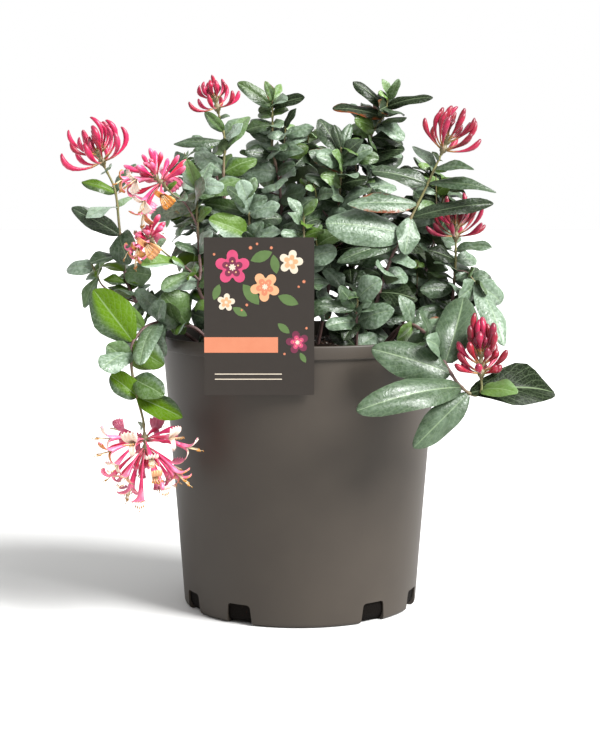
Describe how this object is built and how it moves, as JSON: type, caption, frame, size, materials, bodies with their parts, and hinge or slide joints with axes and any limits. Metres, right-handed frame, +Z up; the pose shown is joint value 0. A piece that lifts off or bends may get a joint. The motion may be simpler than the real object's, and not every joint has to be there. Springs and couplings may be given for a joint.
{
  "type": "honeysuckle vine in a nursery pot",
  "caption": "Climbing honeysuckle in a tapered round nursery pot filled with soil: leafy stems, sprays of tubular flowers, and a flat card on a stake at the rim.",
  "frame": {"origin": "middle of the pot's underside, on the surface that it stands on", "axes": "+Z up along the pot's axis; -Y is the front, where the card hangs; +X is to the right seen from the front"},
  "size_m": [0.4017, 0.2886, 0.4402],
  "materials": {
    "pot_plastic": "injection-moulded, matt with a faint sheen",
    "soil": "coarse bark and peat mix, dull",
    "label_card": "printed plastic card, satin",
    "leafy_stem": "leathery leaves with a soft sheen on green to purple-brown stems",
    "open_bloom": "soft satin petals, pink to peach and cream",
    "closed_bloom": "soft satin buds, crimson to pink"
  },
  "bodies": {
    "root": {"nursery_pot": "pot_plastic", "potting_soil": "soil", "plant_label": "label_card", "stem_far_left": "leafy_stem", "stem_left_droop": "leafy_stem", "stem_left_inner": "leafy_stem", "stem_top_left": "leafy_stem", "stem_tall": "leafy_stem", "stem_centre": "leafy_stem", "stem_centre_front": "leafy_stem", "stem_centre_right": "leafy_stem", "stem_top_right": "leafy_stem", "stem_right_bloom": "leafy_stem", "stem_right_mid": "leafy_stem", "stem_right_front": "leafy_stem", "stem_front_short": "leafy_stem", "stem_back_left": "leafy_stem", "stem_back_centre": "leafy_stem", "stem_back_right": "leafy_stem", "stem_right_inner": "leafy_stem", "bloom_far_left": "closed_bloom", "bloom_left_droop": "open_bloom", "bloom_left_upper": "open_bloom", "bloom_left_lower": "open_bloom", "bloom_top_left": "closed_bloom", "bloom_right_upper": "closed_bloom", "bloom_right_mid": "closed_bloom", "bloom_right_front": "closed_bloom"}
  },
  "joints": []
}
